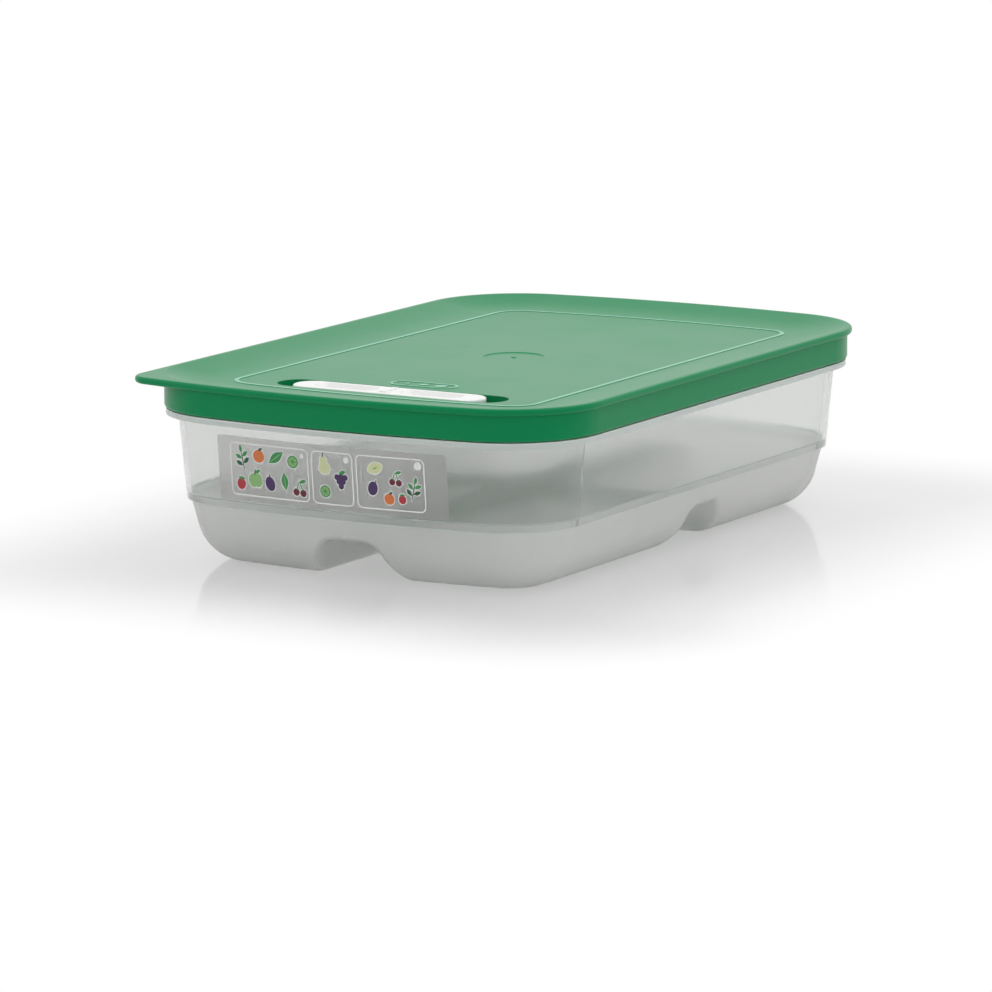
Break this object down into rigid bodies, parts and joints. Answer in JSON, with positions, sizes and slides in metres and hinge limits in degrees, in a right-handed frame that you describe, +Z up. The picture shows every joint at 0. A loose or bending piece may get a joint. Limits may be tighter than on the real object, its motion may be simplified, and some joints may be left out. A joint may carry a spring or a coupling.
{
  "type": "produce keeper",
  "caption": "Flat fridge box for produce: clear footed tub with a frosted lower half, soft lid with pull tab, and a sliding air vent in the lid.",
  "frame": {"origin": "middle of the tub's footprint, on the surface the feet stand on", "axes": "+Z up, -Y the front with the vent and the label, Y along the longest side"},
  "size_m": [0.177, 0.265, 0.0684],
  "materials": {
    "tub": "clear polypropylene, polished above the step and fine frosted below it",
    "label_film": "thin printed film, finely grained",
    "lid": "soft polyethylene, fine satin texture on top, smoother on the skirt",
    "vent": "polished white"
  },
  "bodies": {
    "tub": {"base": "tub", "guide_label": "label_film"},
    "lid": {"lid": "lid"},
    "vent": {"vent_slider": "vent", "vent_keeper": "vent"}
  },
  "joints": [
    {"name": "lid_lift", "type": "slide", "parent": "tub", "child": "lid", "axis": [0, 0, 1], "range_m": [0, 0.08]},
    {"name": "vent_slide", "type": "slide", "parent": "lid", "child": "vent", "axis": [1, 0, 0], "range_m": [-0.0062, 0.0088]}
  ]
}
